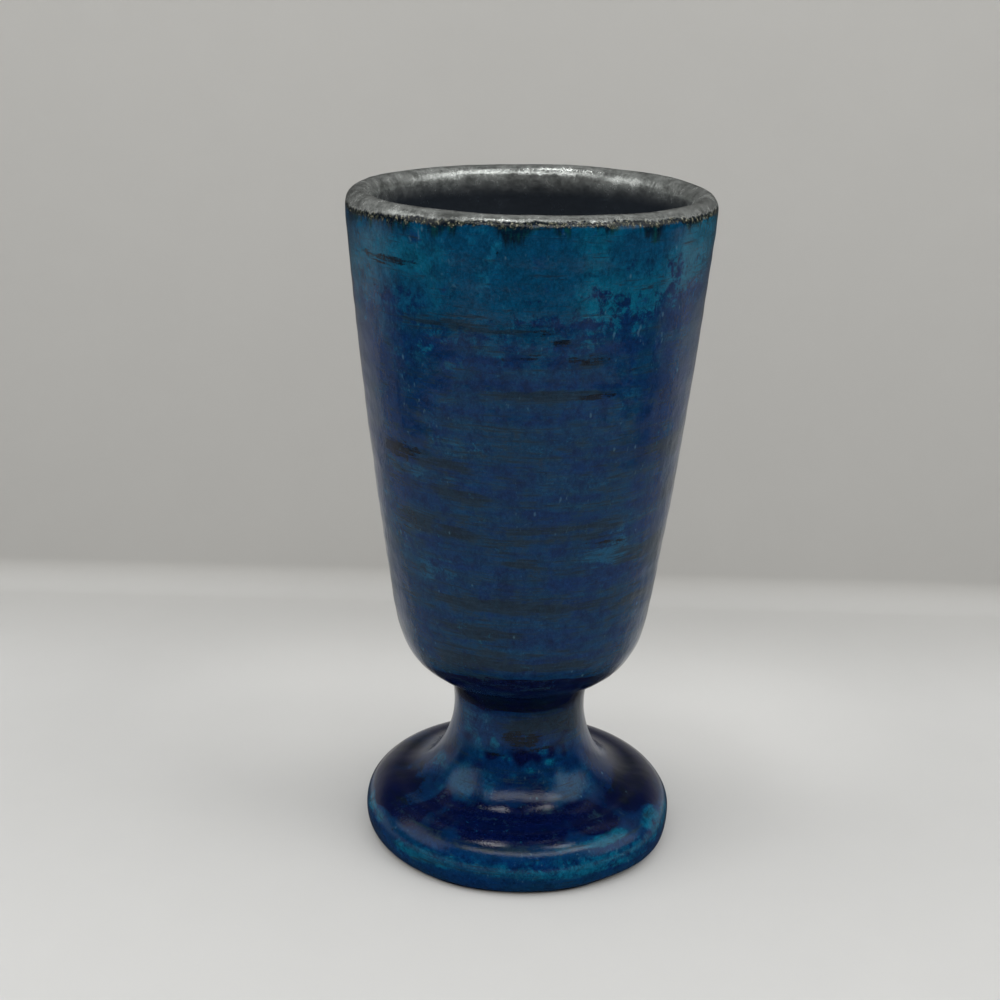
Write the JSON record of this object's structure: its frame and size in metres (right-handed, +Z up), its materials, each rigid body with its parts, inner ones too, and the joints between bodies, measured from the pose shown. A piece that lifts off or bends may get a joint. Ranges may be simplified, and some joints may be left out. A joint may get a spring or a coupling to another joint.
{
  "type": "footed vase",
  "caption": "Tall tapered cup-shaped vase on a short stem and a spreading hollow foot, blue-glazed earthenware with a pewter-grey lip and lining, for holding flowers.",
  "frame": {"origin": "centre of the foot ring's underside, on the surface the vase stands on", "axes": "+Z up along the axis the vase was thrown about; -Y towards the pictured side"},
  "size_m": [0.0788, 0.0788, 0.15],
  "materials": {
    "clay": "unglazed, matt",
    "slip": "unglazed, matt",
    "blue_glaze": "gloss, mottled cobalt and turquoise",
    "pewter_glaze": "satin, metallic grey"
  },
  "bodies": {
    "root": {"pedestal_body": "clay", "cup_body": "clay", "luting_slip": "slip", "pedestal_glaze": "blue_glaze", "cup_glaze": "blue_glaze", "liner_glaze": "pewter_glaze"}
  },
  "joints": []
}
